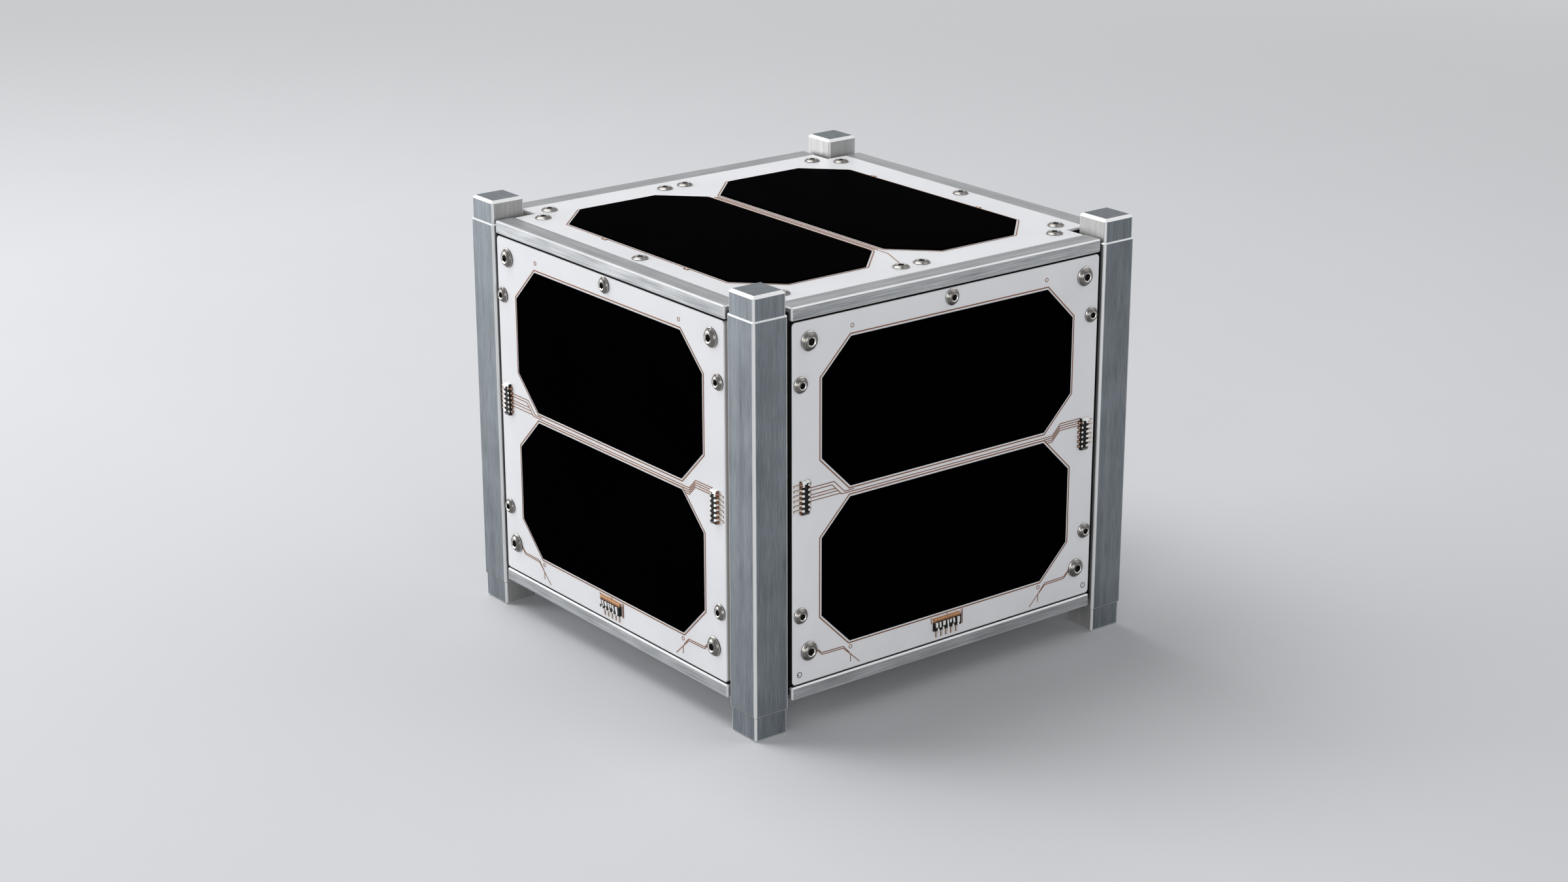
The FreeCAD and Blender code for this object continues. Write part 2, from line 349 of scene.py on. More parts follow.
def moulded_black():
    """The headers' moulded plastic."""
    finish = Finish("moulded_black")
    grain = finish.noise(finish.place(), 9.0, 3.0)
    tint = finish.blend(grain, (0.003, 0.003, 0.003), (0.009, 0.009, 0.010))
    return finish.surface(Base_Color=tint, Roughness=0.40 + grain * 0.2, Specular_IOR_Level=0.2,
                          Normal=finish.bump(grain, 0.3, 0.02))


def tinned_metal(name, bright, dull, metallic=1.0):
    """Tin, solder or turned metal with a fine grain."""
    finish = Finish(name)
    grain = finish.noise(finish.place(), 6.0, 3.0)
    tint = finish.blend(grain, dull, bright)
    return finish.surface(Base_Color=tint, Metallic=metallic, Roughness=0.22 + grain * 0.2,
                          Normal=finish.bump(grain, 0.25, 0.02))


def turned_steel(name, dull, bright, rough):
    """Steel with a little turning grain."""
    finish = Finish(name)
    grain = finish.noise(finish.place(), 4.0, 3.0)
    clouds = finish.noise(finish.place(), 0.8, 1.0)
    tint = finish.blend(clouds, dull, bright)
    return finish.surface(Base_Color=tint, Metallic=1.0, Roughness=rough + grain * 0.12,
                          Normal=finish.bump(grain, 0.10, 0.02))


def copper(name, dull, bright):
    """Thin etched copper under clear mask, also for the grey marks."""
    finish = Finish(name)
    grain = finish.noise(finish.place(), 2.5, 3.0)
    clouds = finish.noise(finish.place(), 0.15, 2.0)
    tint = finish.blend((clouds * 0.6 + grain * 0.4).clamped(), dull, bright)
    return finish.surface(Base_Color=tint, Metallic=0.35, Roughness=0.42 + grain * 0.15,
                          Normal=finish.bump(grain, 0.2, 0.01))


def stack_boards():
    """Boards and battery inside, seen only through gaps: thin green layers."""
    finish = Finish("stack_boards")
    layers = finish.noise(finish.place((0.02, 0.02, 1.0)), 0.8, 2.0)
    grain = finish.noise(finish.place(), 1.5, 2.0)
    shade = (layers + (grain - 0.5) * 0.3).clamped()
    tint = finish.blend(shade, (0.012, 0.020, 0.014), (0.05, 0.10, 0.06))
    return finish.surface(Base_Color=tint, Roughness=0.5 + grain * 0.2,
                          Normal=finish.bump(grain, 0.2, 0.05))


rail_dull = (0.144, 0.162, 0.177)
rail_bright = (0.268, 0.294, 0.315)
beam_dull = (0.27, 0.28, 0.29)
beam_bright = (0.58, 0.59, 0.60)
rail_look = {"streak": 2.4, "sheen": 0.52, "share": 1.0, "dull": rail_dull, "bright": rail_bright}
beam_look = {"streak": 3.2, "sheen": 0.40, "share": 0.7, "dull": beam_dull, "bright": beam_bright}
rail_metal = brushed_metal("rail_aluminium_brushed", (1.0, 1.0, 0.030), **rail_look)
beam_metal_x = brushed_metal("beam_aluminium_brushed_x", (0.014, 1.0, 1.0), **beam_look)
beam_metal_y = brushed_metal("beam_aluminium_brushed_y", (1.0, 0.014, 1.0), **beam_look)
board_finish = white_board()
cell_finish = black_cell()
plastic_finish = moulded_black()
contact_finish = tinned_metal("tinned_contact", (0.90, 0.87, 0.82), (0.66, 0.60, 0.52), 0.75)
solder_finish = tinned_metal("solder", (0.92, 0.92, 0.90), (0.70, 0.69, 0.66), 0.45)
spacer_finish = tinned_metal("spacer_metal_turned", (0.66, 0.66, 0.68), (0.50, 0.50, 0.52))
screw_finish = turned_steel("screw_steel", (0.13, 0.123, 0.113), (0.25, 0.238, 0.222), 0.20)
# Copies of the one steel: the rim painted bright as a highlight, the socket's walls painted lighter as
# light, and the skirt and socket floor painted near black as shade.
rim_highlight_steel = turned_steel("screw_rim_painted_highlight", (0.70, 0.68, 0.65), (0.86, 0.84, 0.80), 0.10)
socket_finish = turned_steel("screw_socket", (0.26, 0.25, 0.235), (0.42, 0.405, 0.38), 0.16)
painted_shade_steel = turned_steel("screw_painted_shade", (0.012, 0.011, 0.010), (0.03, 0.028, 0.026), 0.25)
copper_finish = copper("copper_trace", (0.11, 0.040, 0.014), (0.33, 0.140, 0.055))
copper_plate = copper("copper_plate", (0.30, 0.125, 0.042), (0.60, 0.30, 0.125))
copper_dark = copper("copper_dark", (0.035, 0.012, 0.007), (0.075, 0.028, 0.016))
copper_bright = copper("copper_bare", (0.60, 0.36, 0.20), (0.85, 0.62, 0.42))
mark_finish = copper("mark_grey", (0.05, 0.05, 0.055), (0.15, 0.148, 0.15))
tooth_finish = tinned_metal("solder_bright", (0.97, 0.97, 0.95), (0.80, 0.79, 0.77), 0.1)
stack_finish = stack_boards()


def node_finish(name):
    """The finish of a node of the frame."""
    if name.startswith("beam_"):
        return beam_metal_x if name.endswith(("front", "back")) else beam_metal_y
    first = name.split("_")[0]
    return {"rail": rail_metal, "cap": rail_metal, "foot": rail_metal, "panel": board_finish,
            "cell": cell_finish, "header": plastic_finish, "contacts": contact_finish,
            "inner": stack_finish, "spacers": spacer_finish}[first]


for name, piece in nodes.items():
    piece.data.materials.clear()
    piece.data.materials.append(node_finish(name))


def begin(name, add, **settings):
    """Start a new piece from a primitive, on the bench, open for editing."""
    bpy.ops.object.select_all(action="DESELECT")
    add(**settings)
    piece = bpy.context.object
    piece.name = name
    bpy.ops.object.transform_apply(location=True, rotation=True, scale=True)
    bpy.ops.object.mode_set(mode="EDIT")
    return piece


def pick(kind, test):
    """Select the faces, edges or verts of the open piece that pass a test."""
    mesh = bmesh.from_edit_mesh(bpy.context.object.data)
    bpy.ops.mesh.select_mode(type={"faces": "FACE", "edges": "EDGE", "verts": "VERT"}[kind])
    bpy.ops.mesh.select_all(action="DESELECT")
    for part in getattr(mesh, kind):
        if test(part):
            part.select_set(True)
    mesh.select_flush_mode()
    bmesh.update_edit_mesh(bpy.context.object.data)


def close():
    """End editing, with every face outwards."""
    bpy.ops.mesh.select_mode(type="FACE")
    bpy.ops.mesh.select_all(action="SELECT")
    bpy.ops.mesh.normals_make_consistent(inside=False)
    bpy.ops.object.mode_set(mode="OBJECT")


def modify(piece, kind, **settings):
    """Add a modifier and apply it."""
    bpy.context.view_layer.objects.active = piece
    modifier = piece.modifiers.new(kind.lower(), kind)
    for key, value in settings.items():
        setattr(modifier, key, value)
    bpy.ops.object.modifier_apply(modifier=modifier.name)


def smooth(piece, angle):
    """Smooth shading, with sharp edges above an angle in degrees."""
    bpy.ops.object.select_all(action="DESELECT")
    piece.select_set(True)
    bpy.context.view_layer.objects.active = piece
    bpy.ops.object.shade_smooth_by_angle(angle=radians(angle))


def duplicate(piece, name, matrix):
    """A copy with its own mesh, moved."""
    made = piece.copy()
    made.data = piece.data.copy()
    made.name = name
    made.data.transform(matrix)
    bpy.context.scene.collection.objects.link(made)
    return made


def join(name, pieces):
    """Make one piece of several."""
    bpy.ops.object.select_all(action="DESELECT")
    for piece in pieces:
        piece.select_set(True)
    bpy.context.view_layer.objects.active = pieces[0]
    bpy.ops.object.join()
    made = bpy.context.object
    made.name = name
    made.data.name = name
    return made


def clear_away(*pieces):
    """Remove pieces that have served."""
    for piece in pieces:
        bpy.data.objects.remove(piece)


def screw(name, across, height):
    """A domed head lying on its flat side, with a countersunk hexagonal socket. Its skirt and the
    socket's floor are painted dark as shade, its rim and the socket's mouth painted bright as a
    highlight, and the socket's walls painted lighter than the head as light."""
    radius = across / 2
    piece = begin(name, bpy.ops.mesh.primitive_circle_add, vertices=32, radius=radius, fill_type="NGON")
    reach = 0.0
    for rise, factor in head_steps:
        reach += rise * height
        bpy.ops.mesh.extrude_region_move(TRANSFORM_OT_translate={"value": (0, 0, rise * height)})
        bpy.ops.transform.resize(value=(factor, factor, 1), center_override=(0, 0, reach))
    close()
    mouth = begin(name + "_mouth", bpy.ops.mesh.primitive_cone_add, vertices=24, radius1=radius * 0.22,
                  radius2=radius * 0.56, depth=height * 0.42, location=(0, 0, height * 0.87))
    close()
    socket = begin(name + "_socket", bpy.ops.mesh.primitive_cylinder_add, vertices=6,
                   radius=radius * 0.42, depth=height * 1.4, location=(0, 0, height * 0.95))
    close()
    steel, rim, flank, shaded = range(4)
    for part in (piece, mouth, socket):
        for finish in (screw_finish, rim_highlight_steel, socket_finish, painted_shade_steel):
            part.data.materials.append(finish)
    # The lowest band of the head is painted near black as shade, the band above it painted bright as a
    # highlight.
    for face in piece.data.polygons:
        if face.center.z < shaded_share * height:
            face.material_index = shaded
        elif face.center.z < rim_share * height:
            face.material_index = rim
        else:
            face.material_index = steel
    # The socket's mouth is painted bright as a highlight, its floor near black as shade and its walls
    # lighter as light.
    for face in mouth.data.polygons:
        face.material_index = rim
    for face in socket.data.polygons:
        face.material_index = shaded if abs(face.normal.z) > 0.9 else flank
    for tool in (mouth, socket):
        modify(piece, "BOOLEAN", object=tool, operation="DIFFERENCE", solver="EXACT")
    clear_away(mouth, socket)
    smooth(piece, 34)
    return piece


def run(points, width, height, closed=False):
    """A flat strip of copper of even width along a list of points on the bench."""
    piece = begin("run", bpy.ops.mesh.primitive_plane_add, size=0.01)
    bpy.ops.mesh.merge(type="CENTER")
    bpy.ops.mesh.select_mode(type="VERT")
    bpy.ops.mesh.select_all(action="SELECT")
    bpy.ops.transform.translate(value=(*points[0], -sunk))
    route = points[1:] + points[:1] if closed else points[1:]
    here = points[0]
    for point in route:
        step = (point[0] - here[0], point[1] - here[1], 0)
        bpy.ops.mesh.extrude_vertices_move(TRANSFORM_OT_translate={"value": step})
        here = point
    bpy.ops.mesh.select_all(action="SELECT")
    bpy.ops.mesh.remove_doubles(threshold=0.001)
    bpy.ops.mesh.select_mode(type="EDGE")
    bpy.ops.mesh.select_all(action="SELECT")
    bpy.ops.mesh.extrude_edges_move(TRANSFORM_OT_translate={"value": (0, 0, height + sunk)})
    bpy.ops.object.mode_set(mode="OBJECT")
    modify(piece, "SOLIDIFY", thickness=width, offset=0, use_even_offset=True)
    bpy.ops.object.mode_set(mode="EDIT")
    close()
    piece.data.materials.append(copper_finish)
    return piece


def cut_corner_outline(low, high, cut, gap):
    """The corners of a cut-corner rectangle, gap outside low and high."""
    leg = cut + gap * (2 - 1 / cos(radians(45)))
    x0, y0, x1, y1 = low[0] - gap, low[1] - gap, high[0] + gap, high[1] + gap
    return [(x0 + leg, y0), (x1 - leg, y0), (x1, y0 + leg), (x1, y1 - leg),
            (x1 - leg, y1), (x0 + leg, y1), (x0, y1 - leg), (x0, y0 + leg)]


def ring(across, width, height, at, finish):
    """A small flat ring."""
    piece = begin("ring", bpy.ops.mesh.primitive_circle_add, vertices=20, radius=across / 2,
                  fill_type="NGON", location=(*at, -sunk))
    bpy.ops.mesh.inset(thickness=width)
    bpy.ops.mesh.delete(type="FACE")
    bpy.ops.mesh.select_all(action="SELECT")
    bpy.ops.mesh.extrude_region_move(TRANSFORM_OT_translate={"value": (0, 0, height + sunk)})
    close()
    piece.data.materials.append(finish)
    return piece


def pad(low, high, height, bevel, finish):
    """A small bevelled plate between two opposite corners on the bench."""
    size = (abs(high[0] - low[0]), abs(high[1] - low[1]), height)
    middle = ((low[0] + high[0]) / 2, (low[1] + high[1]) / 2, height / 2 - sunk)
    piece = begin("pad", bpy.ops.mesh.primitive_cube_add, size=1, location=middle, scale=size)
    pick("faces", lambda face: face.normal.z > 0.9)
    bpy.ops.mesh.inset(thickness=bevel)
    bpy.ops.transform.translate(value=(0, 0, bevel * 0.8))
    close()
    piece.data.materials.append(finish)
    return piece


def wedge(low, high, height, drop, finish, lean=0.0):
    """A small plate between two corners. At the end where the second corner is, its top lies lower by
    drop, and that end is shifted sideways by lean."""
    size = (abs(high[0] - low[0]), abs(high[1] - low[1]), height)
    middle = ((low[0] + high[0]) / 2, (low[1] + high[1]) / 2, height / 2 - sunk)
    piece = begin("wedge", bpy.ops.mesh.primitive_cube_add, size=1, location=middle, scale=size)
    pick("verts", lambda vert: vert.co.z > middle[2] and abs(vert.co.y - high[1]) < 0.001)
    bpy.ops.transform.translate(value=(0, 0, -drop))
    pick("verts", lambda vert: abs(vert.co.y - high[1]) < 0.001)
    bpy.ops.transform.translate(value=(lean, 0, 0))
    close()
    piece.data.materials.append(finish)
    return piece


def bead(across, height, at, base, finish):
    """A low drop of solder."""
    piece = begin("bead", bpy.ops.mesh.primitive_circle_add, vertices=12, radius=across / 2,
                  fill_type="NGON", location=(*at, base))
    for rise, factor in ((0.45, 0.88), (0.35, 0.70), (0.20, 0.45)):
        bpy.ops.mesh.extrude_region_move(TRANSFORM_OT_translate={"value": (0, 0, rise * height)})
        bpy.ops.transform.resize(value=(factor, factor, 1), center_override=(*at, 0))
    close()
    smooth(piece, 60)
    piece.data.materials.append(finish)
    return piece


# From the bench onto the front panel, onto the top panel, and from there under the bottom panel
stand = (Matrix.Translation((0, -panel_face * mm, 0)) @ Matrix.Rotation(pi / 2, 4, "X")
         @ Matrix.Scale(mm, 4))
lie = Matrix.Translation((0, 0, top_face * mm)) @ Matrix.Scale(mm, 4)
over = (Matrix.Translation((0, 0, middle_height * mm)) @ Matrix.Rotation(pi, 4, "X")
        @ Matrix.Translation((0, 0, -middle_height * mm)))


def on_sides(piece, name, quarters=(0, 1, 2, 3)):
    """Put a bench piece against the side panels, all four or some of them."""
    for quarter in quarters:
        side = sides[quarter]
        placed = duplicate(piece, f"{name}_{side}", Matrix.Rotation(quarter * pi / 2, 4, "Z") @ stand)
        placed.data.name = placed.name
        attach(placed, "root")
    clear_away(piece)


def on_ends(piece, name):
    """Put a bench piece on the top panel and under the bottom panel."""
    for end, matrix in (("top", lie), ("bottom", over @ lie)):
        placed = duplicate(piece, f"{name}_{end}", matrix)
        placed.data.name = placed.name
        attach(placed, "root")
    clear_away(piece)


def spread(piece, name, places):
    """Copies of a bench piece at places, as one."""
    copies = [duplicate(piece, name, Matrix.Translation((*place, 0))) for place in places]
    clear_away(piece)
    return join(name, copies)


def flat_corners(node):
    """Lowest and highest corner of a node of the front side, on the bench."""
    low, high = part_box(node)
    return (low.x / mm, low.z / mm), (high.x / mm, high.z / mm)


# Screws of the side panels
mirrored = (-1, 1)
large_places = [(s * large_screw_u, z) for s in mirrored for z in (large_screw_high, large_screw_low)]
small_places = [(s * small_screw_u, z) for s in mirrored for z in (small_screw_high, small_screw_low)]
small_height = head_height * small_head_share
side_screws = join("screws", [
    spread(screw("large_screw", large_head, head_height), "large_screws", large_places),
    spread(screw("small_screw", small_head, small_height), "small_screws", small_places),
    spread(screw("middle_screw", middle_head, small_height), "middle_screws", [(0, middle_screw_high)])])
on_sides(side_screws, "screws")

# Screws of the end panels
end_places = [(sx * x, sy * y) for sx in mirrored for sy in mirrored
              for x, y in ((end_screw_far, end_screw_near), (end_screw_near, end_screw_far))]
end_places += [(sx * end_pair_x, end_pair_middle + sy * end_pair_half)
               for sx in mirrored for sy in mirrored]
end_screws = join("end_screws", [
    spread(screw("end_screw", end_head, end_head_height), "end_screws_wide", end_places),
    spread(screw("edge_screw", middle_head, end_head_height), "end_screws_edge",
           [(end_middle_x, s * end_middle_y) for s in mirrored])])
on_ends(end_screws, "screws")

# Copper of the side panels
upper_low, upper_high = flat_corners("cell_front_upper")
lower_low, lower_high = flat_corners("cell_front_lower")
left_low, left_high = flat_corners("header_front_left")
right_low, right_high = flat_corners("header_front_right")
low_low, low_high = flat_corners("header_front_low")
outline_upper = cut_corner_outline(upper_low, upper_high, side_cell_cut, outline_gap)
outline_lower = cut_corner_outline(lower_low, lower_high, side_cell_cut, outline_gap)
strip_middle = (upper_low[1] + lower_high[1]) / 2
knee_left = outline_upper[0][0]
knee_right = outline_upper[1][0]

lines = [run(outline, trace_width, trace_height, True) for outline in (outline_upper, outline_lower)]

# Lines from the left header. The first follows the strip between the cells. The second is the long line
# from the right header, made below, and the others end on its slanted stretch.
fan_heights = (50.9, 50.3, 49.4, 48.8, 48.1)
first_bend = -30.0
second_bend = -30.5
strip_z = strip_middle + 0.02
first_z = strip_z + 0.25
first_end = knee_left + 1.2
lines.append(run([(left_high[0], fan_heights[0]), (first_bend, fan_heights[0]),
                  (first_bend + fan_heights[0] - strip_z - 0.25, first_z), (first_end, first_z)],
                 fine_width, fine_height))
for height in fan_heights[2:]:
    end = second_bend + fan_heights[1] - height
    lines.append(run([(left_high[0], height), (end, height)], fine_width, trace_height))

# Lines from the right header: the first runs on to the left header, the others end on the lower outline
fan_top = (50.1, 49.6, 49.1, 48.6)
fan_low = [strip_z - drop for drop in (0.15, 0.6, 1.05, 1.5)]
fan_bend = 30.6
fan_bend_step = 0.04
for step, (top, low) in enumerate(zip(fan_top, fan_low)):
    bend = fan_bend - step * fan_bend_step
    start = right_low[0] + 0.15 if step == 0 else right_low[0]
    route = [(start, top), (bend, top), (bend - (top - low), low)]
    if step == 0:
        route += [(second_bend + fan_heights[1] - low, low), (second_bend, fan_heights[1]),
                  (left_high[0], fan_heights[1])]
    else:
        route.append((knee_right + max(0.0, outline_lower[4][1] - low) + 0.05, low))
    lines.append(run(route, fine_width, fine_height))

# A pair of lines from each low screw to a fork: (u, share of the pair's gap, height, share of the gap)
pair_route = ((34.5, 0.4, 16.4, 1.0), (33.0, 0.0, 14.9, 1.0),
              (27.5, 0.0, 14.8, 1.0), (25.8, 0.3, 13.1, 0.6))
pair_half = 0.2
fork_slanted = ((25.72, 13.0), (23.2, 10.6))
fork_upright = ((25.6, 12.9), (25.6, 11.2))
for s in mirrored:
    for across in (-pair_half, pair_half):
        route = [(s * (u + across * share_u), z + across * share_z)
                 for u, share_u, z, share_z in pair_route]
        lines.append(run(route, fine_width, fine_height + across * 0.02))
    lines.append(run([(s * u, z) for u, z in fork_slanted], fine_width, trace_height))
    lines.append(run([(s * u, z) for u, z in fork_upright], thin_width, fine_height + 0.01))

via_u = 25.6
via_heights = (82.2, 14.5)
via_places = [(s * via_u, z) for s in mirrored for z in via_heights]
lines += [ring(0.9, 0.13, trace_height, place, copper_finish) for place in via_places]

# Copper about the headers: under the contacts, between them and at the inner edge
header_rise = -(panel_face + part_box("header_front_left")[0].y / mm)
steps = [edge_pitch * (k - (edge_contacts - 1) / 2) for k in range(edge_contacts)]
gaps = [edge_pitch * (k - edge_contacts / 2) for k in range(edge_contacts + 1)]
low_steps = [low_pitch * (k - (low_contacts - 1) / 2) for k in range(low_contacts)]
foot_half = 0.24
foot_reach = contact_reach + 0.10
low_foot_half = 0.32
low_foot_reach = contact_reach + 0.12
inner_half = 0.28
gap_half = 0.24
gap_height = header_rise * 0.86


def edges(low, high, side):
    """The outer edge, the inner edge and the middle height of an upright header. Its contacts point
    left where side is -1, right where it is 1."""
    outer, inner = (low[0], high[0]) if side < 0 else (high[0], low[0])
    return outer, inner, (low[1] + high[1]) / 2


def upright_copper(low, high, side):
    """Copper about an upright header."""
    outer, inner, middle = edges(low, high, side)
    made = []
    for step in steps:
        z = middle + step
        made.append(pad((outer, z - foot_half), (outer + side * foot_reach, z + foot_half),
                        0.05, 0.03, copper_finish))
        made.append(pad((inner + side * 0.05, z - inner_half), (inner - side * 0.55, z + inner_half),
                        0.30, 0.08, copper_finish))
    for gap in gaps:
        z = middle + gap
        made.append(pad((outer - side * 0.06, z - gap_half), (outer + side * 0.12, z + gap_half),
                        gap_height, 0.05, copper_finish))
    for u in (outer - side * 0.10, inner + side * 0.10):
        made.append(pad((u - 0.16, high[1] - 1.05), (u + 0.16, high[1] - 0.75),
                        header_rise + 0.10, 0.06, copper_finish))
    return made


lines += upright_copper(left_low, left_high, -1) + upright_copper(right_low, right_high, 1)
for step in low_steps:
    lines.append(pad((step - low_foot_half, low_low[1]),
                     (step + low_foot_half, low_low[1] - low_foot_reach), 0.06, 0.04, copper_finish))

# Lines beside the low header: a fork left of it, a pair under a bent line right of it, a stem above it
low_top = low_high[1]
fork = [(-4.15, low_top - 0.4), (-4.15, low_top + 0.55), (-4.4, low_top + 0.8)]
branch = [(-4.05, low_top + 0.6), (-3.85, low_top + 0.8)]
pair = [[(u, low_low[1] - 0.2), (u, low_top + 0.5)] for u in (4.05, 4.37)]
bent = [(3.9, low_top + 0.65), (4.2, low_top + 0.9), (4.5, low_top + 0.65)]
stem = [(0.1, low_top + 0.6), (0.1, outline_lower[0][1])]
lines += [run(fork, fine_width, fine_height), run(branch, fine_width, trace_height)]
lines += [run(route, fine_width, fine_height) for route in (*pair, bent)]
lines.append(run(stem, thin_width, fine_height))
on_sides(join("copper", lines), "copper")

# Small grey marks in the lower corners of the right and left panels, one of them with a dot
mark_u = 38.7
mark_high = 11.75
marks = [ring(1.26, 0.15, 0.06, (s * mark_u, mark_high), mark_finish) for s in mirrored]
marks.append(bead(0.36, 0.05, (-mark_u - 0.25, mark_high), 0.0, mark_finish))
on_sides(join("marks", marks), "marks", (1, 3))

# Copper of the end panels: outlines, three lines between the cells, a line to a pair of screws, tabs
end_lines = []
for node in ("cell_top_front", "cell_top_back"):
    low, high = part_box(node)
    outline = cut_corner_outline((low.x / mm, low.y / mm), (high.x / mm, high.y / mm),
                                 end_cell_cut, outline_gap)
    end_lines.append(run(outline, trace_width, trace_height, True))
front_cell_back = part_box("cell_top_front")[1].y / mm
back_cell_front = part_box("cell_top_back")[0].y / mm
cell_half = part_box("cell_top_front")[1].x / mm
gap_middle = (front_cell_back + back_cell_front) / 2
line_start = -cell_half + end_cell_cut + 0.5
line_end = cell_half - end_cell_cut - 0.5
for across in (-0.45, 0.0, 0.45):
    end_lines.append(run([(line_start, gap_middle + across), (line_end, gap_middle + across)],
                         fine_width, fine_height))
end_lines.append(run([(line_end, gap_middle), (31.2, gap_middle),
                      (end_pair_x - 1.5, end_pair_middle - end_pair_half + 1.2)],
                     fine_width, fine_height))
cell_front_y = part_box("cell_top_front")[0].y / mm
cell_back_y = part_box("cell_top_back")[1].y / mm
tab_half = 0.75
tab_depth = 0.9
tabs = ((-13.5, cell_front_y, -1), (15.3, cell_front_y, -1),
        (-20.7, cell_back_y, 1), (14.8, cell_back_y, 1))
for x, y, out in tabs:
    edge = y + out * (outline_gap - 0.1)
    end_lines.append(pad((x - tab_half, edge), (x + tab_half, edge + out * tab_depth),
                         0.07, 0.05, copper_finish))
    end_lines.append(bead(0.5, 0.12, (x, edge + out * 0.42), 0.05, contact_finish))
on_ends(join("copper_ends", end_lines), "copper")

# Tin on the headers: slanted teeth along the outer edge, beads along the inner one, plates at the ends
tooth_half = 0.24


def upright_tin(low, high, side):
    """Tin on an upright header."""
    outer, inner, middle = edges(low, high, side)
    made = []
    for step in steps:
        z = middle + step
        made.append(wedge((outer - side * 0.12, z - tooth_half), (outer - side * 0.66, z + tooth_half),
                          header_rise + 0.16, 0.10, tooth_finish, side * 0.16))
        made.append(bead(0.50, 0.16, (inner + side * 0.26, z), header_rise - 0.02, solder_finish))
        made.append(bead(0.40, 0.12, (inner - side * 0.28, z), 0.26, solder_finish))
    made.append(wedge((outer - side * 0.15, high[1] - 0.62), (outer - side * 1.05, high[1] + 0.02),
                      header_rise + 0.22, 0.18, tooth_finish, side * 0.10))
    made.append(wedge((inner + side * 0.10, high[1] - 0.42), (inner + side * 0.95, high[1] + 0.06),
                      header_rise + 0.14, 0.12, tooth_finish, side * 0.12))
    made.append(wedge((low[0] + 0.2, low[1] + 0.55), (high[0] - 0.2, low[1] - 0.03),
                      header_rise + 0.26, 0.24, screw_finish))
    return made


# Teeth along the low header: (u, half of the width, reach downwards, lean)
teeth = ((-3.25, 0.26, 1.10, 0.15), (-2.35, 0.20, 1.25, 0.22), (-1.25, 0.30, 1.00, 0.10),
         (-0.25, 0.17, 1.30, 0.20), (0.55, 0.20, 0.85, 0.05), (1.35, 0.21, 1.10, 0.24),
         (2.65, 0.30, 1.40, 0.12))
tooth_top = low_top - 0.10
solder = upright_tin(left_low, left_high, -1) + upright_tin(right_low, right_high, 1)
for u, half, reach, lean in teeth:
    solder.append(wedge((u - half, tooth_top), (u + half, tooth_top - reach),
                        header_rise + 0.20, 0.16, tooth_finish, lean))
for step in low_steps:
    solder.append(bead(0.50, 0.14, (step, low_low[1] + 0.25), header_rise - 0.02, solder_finish))
on_sides(join("solder", solder), "solder")

# Comb plate along the low header's top edge, with bare and dark teeth on it, and a dark line beside it
comb_height = header_rise * 0.60
comb_teeth = 10
comb_start = -3.25
comb_pitch = 0.70
comb = [pad((-3.7, low_top - 0.12), (3.4, low_top + 0.72), comb_height, 0.06, copper_plate)]
for k in range(comb_teeth):
    u = comb_start + k * comb_pitch
    comb.append(pad((u - 0.14, low_top + 0.40), (u + 0.14, low_top + 0.62),
                    comb_height + 0.08, 0.05, copper_bright))
    comb.append(pad((u + 0.20, low_top + 0.02), (u + 0.50, low_top + 0.28),
                    comb_height + 0.06, 0.05, copper_finish))
comb.append(pad((low_low[0] - 0.14, low_low[1] - 0.1), (low_low[0] + 0.02, low_top - 0.1),
                0.16, 0.04, copper_dark))
on_sides(join("comb", comb), "comb")

# Camera
azimuth = radians(camera_azimuth)
elevation = radians(camera_elevation)
back = Vector((sin(azimuth) * cos(elevation), -cos(azimuth) * cos(elevation), sin(elevation)))
right = Vector((cos(azimuth), sin(azimuth), 0))
up = back.cross(right)
aim = Vector((0, 0, aim_height)) + aim_right * right + aim_up * up
eye = bpy.data.cameras.new("camera")
camera = bpy.data.objects.new("camera", eye)
bpy.context.scene.collection.objects.link(camera)
turn = Matrix((right, up, back)).transposed() @ Matrix.Rotation(radians(camera_roll), 3, "Z")
camera.matrix_world = Matrix.Translation(aim + camera_distance * back) @ turn.to_4x4()
eye.sensor_width = 36
eye.lens = camera_lens
eye.clip_start = 0.02
eye.clip_end = 30
bpy.context.scene.camera = camera

# Floor, pale from above and clear from below; far off, it is as pale as the backdrop
floor_shade = (0.66, 0.67, 0.69)
pale_shade = (0.585, 0.595, 0.61, 1)
floor_radius = 6
floor_drop = 0.00005
fade_start = 380.0
fade_end = 820.0
floor_finish = Finish("pale_floor")
floor_grain = floor_finish.noise(floor_finish.place(), 0.02, 3.0)
floor_colour = floor_finish.blend(floor_grain, [0.97 * c for c in floor_shade], floor_shade)
paint = floor_finish.node("ShaderNodeBsdfPrincipled", {},
                          {"Base Color": floor_colour, "Roughness": 0.8, "Specular IOR Level": 0.0})
pale = floor_finish.node("ShaderNodeEmission", {}, {"Color": pale_shade, "Strength": 1.0})
distance = floor_finish.node("ShaderNodeVectorMath", {"operation": "LENGTH"},
                             {0: floor_finish.place()}, 1)
far = floor_finish.ramp(distance, fade_start, fade_end) * floor_finish.straight_rays()
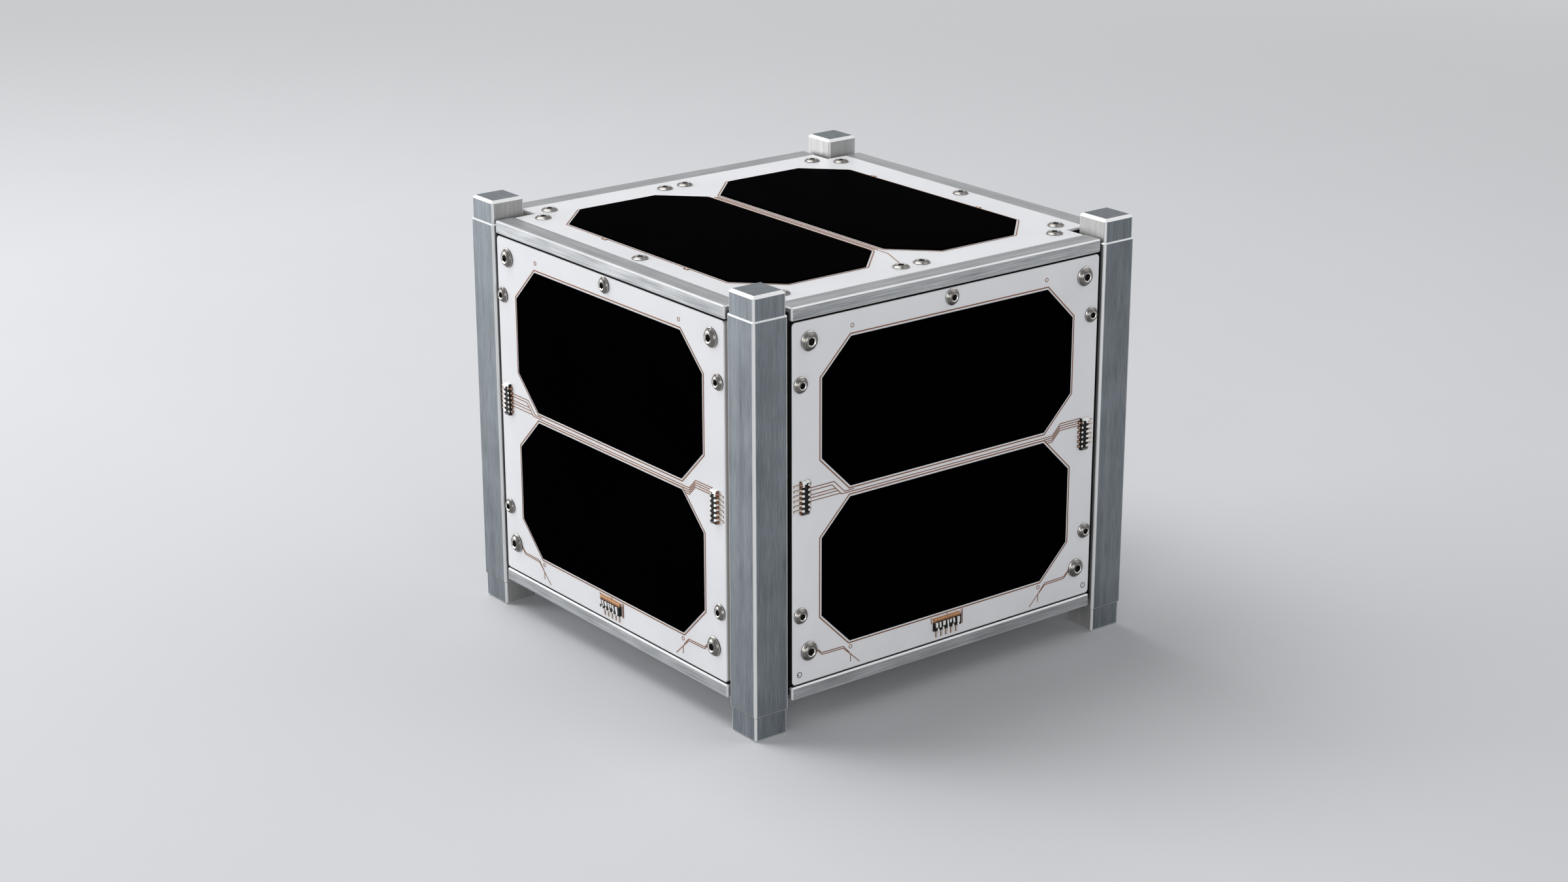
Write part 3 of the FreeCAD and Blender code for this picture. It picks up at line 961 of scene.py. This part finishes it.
upper = floor_finish.node("ShaderNodeMixShader", {}, {0: far, 1: paint, 2: pale})
clear = floor_finish.node("ShaderNodeBsdfTransparent", {}, {})
below = floor_finish.node("ShaderNodeNewGeometry", {}, {}, "Backfacing")
floor_finish.shown(floor_finish.node("ShaderNodeMixShader", {}, {0: below, 1: upper, 2: clear}))
bpy.ops.object.select_all(action="DESELECT")
bpy.ops.mesh.primitive_circle_add(vertices=96, radius=floor_radius, fill_type="NGON",
                                  location=(0, 0, -floor_drop))
floor = bpy.context.object
floor.name = "floor"
floor.data.materials.append(floor_finish.material)
floor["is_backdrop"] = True

# Soft studio light
world = bpy.data.worlds.new("studio")
bpy.context.scene.world = world
surround = Surround(world)
soft = surround.node("ShaderNodeBackground", {}, {"Color": (0.95, 0.97, 1.0, 1), "Strength": 0.15})
backdrop = surround.node("ShaderNodeBackground", {}, {"Color": pale_shade, "Strength": 1.0})
surround.shown(surround.node("ShaderNodeMixShader", {},
                             {0: surround.straight_rays(), 1: soft, 2: backdrop}))


def lamp(name, towards, distance, size, watts):
    """A soft square white lamp that looks at the middle of the part. Distance and size are metres."""
    light = bpy.data.lights.new(name, "AREA")
    light.size = size
    light.energy = watts
    holder = bpy.data.objects.new(name, light)
    direction = Vector(towards).normalized()
    holder.matrix_world = (Matrix.Translation(Vector((0, 0, aim_height)) + direction * distance)
                           @ direction.to_track_quat("Z", "Y").to_matrix().to_4x4())
    bpy.context.scene.collection.objects.link(holder)


lamp("key", (-0.74, -0.62, 0.14), 1.0, 0.6, 7.8)
lamp("front", (0.66, -0.72, 0.18), 1.3, 0.5, 3.7)
lamp("top", (-0.45, -0.15, 0.9), 1.1, 0.8, 8.7)
lamp("back", (0.33, 0.58, 0.75), 1.1, 1.0, 3.0)
lamp("right", (0.97, -0.20, 0.12), 1.2, 0.5, 3.25)
lamp("far", (-0.75, 0.58, 0.33), 1.1, 0.6, 0.35)

view = bpy.context.scene.view_settings
view.view_transform = "Standard"

# The size of the part with the looks on it, floor left out
low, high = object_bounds()
